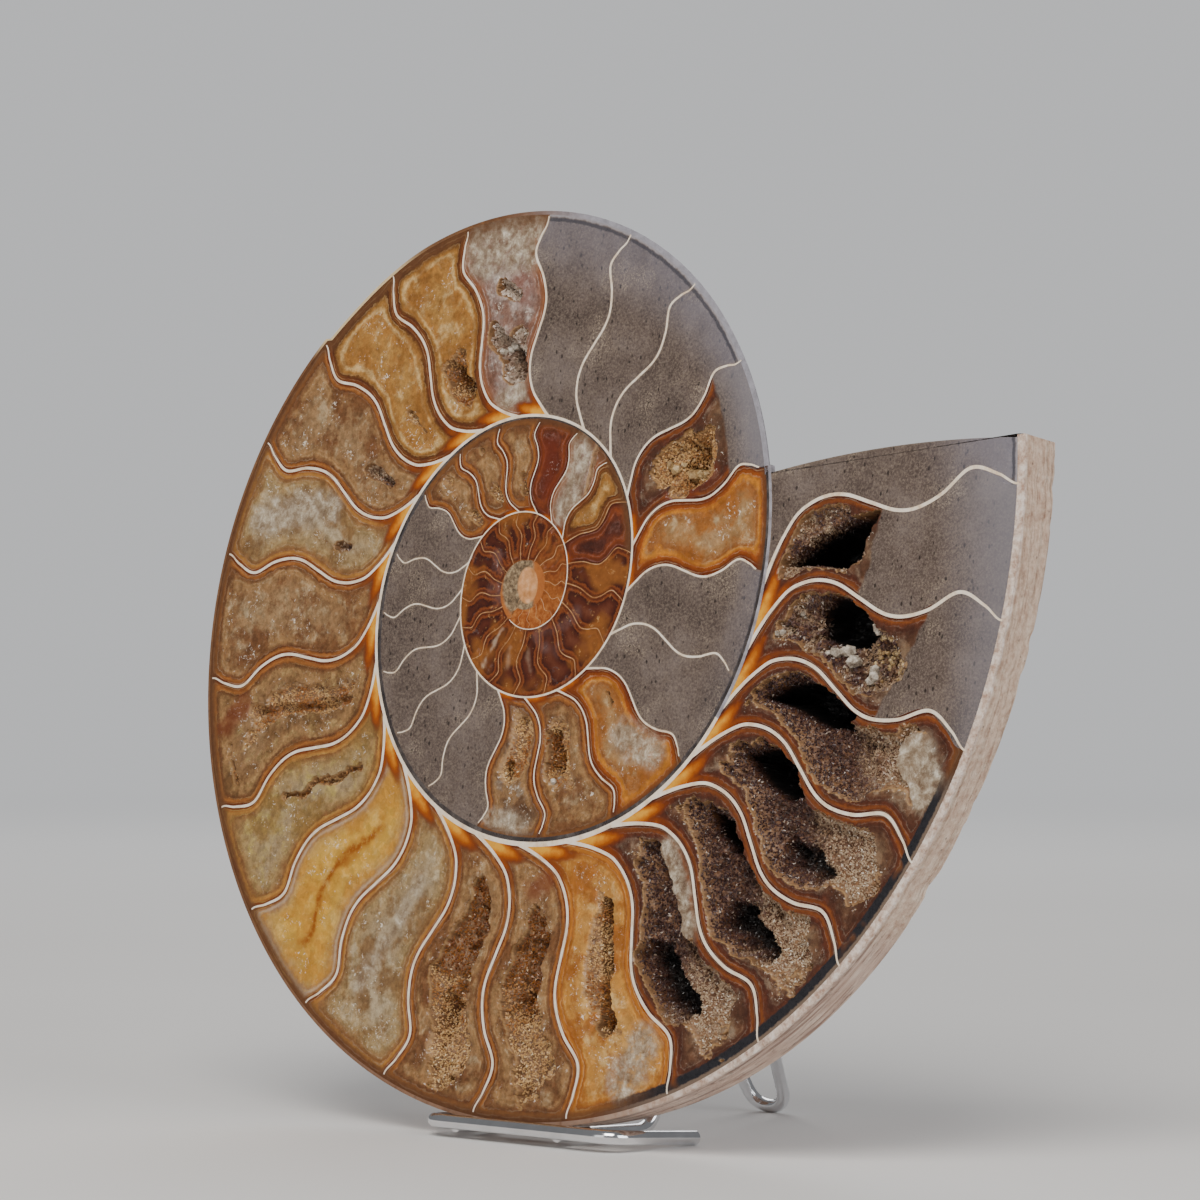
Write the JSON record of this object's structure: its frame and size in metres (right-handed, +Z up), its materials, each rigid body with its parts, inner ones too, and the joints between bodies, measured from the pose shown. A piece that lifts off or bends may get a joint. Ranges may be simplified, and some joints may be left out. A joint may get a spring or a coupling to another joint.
{
  "type": "cleoniceras ammonite",
  "caption": "Cut and polished half of a Cleoniceras ammonite, its spiral of chambers facing forward, leaning on a small bent wire stand.",
  "frame": {"origin": "bottom centre of the bounding box, where the wire stand meets the table", "axes": "+Z up, -Y the side the cut face looks to, +X to the right as seen facing the cut face"},
  "size_m": [0.1948, 0.0752, 0.1667],
  "materials": {
    "fossil_stone": "polished",
    "druse_crystals": "sparkling",
    "chrome_wire": "mirror"
  },
  "bodies": {
    "root": {"ammonite_half": "fossil_stone", "chamber_crystals_1": "druse_crystals", "chamber_crystals_2": "druse_crystals", "chamber_crystals_3": "druse_crystals", "chamber_crystals_4": "druse_crystals", "chamber_crystals_5": "druse_crystals", "chamber_crystals_6": "druse_crystals", "chamber_crystals_7": "druse_crystals", "chamber_crystals_8": "druse_crystals", "easel_wire": "chrome_wire", "front_foot": "chrome_wire"}
  },
  "joints": []
}
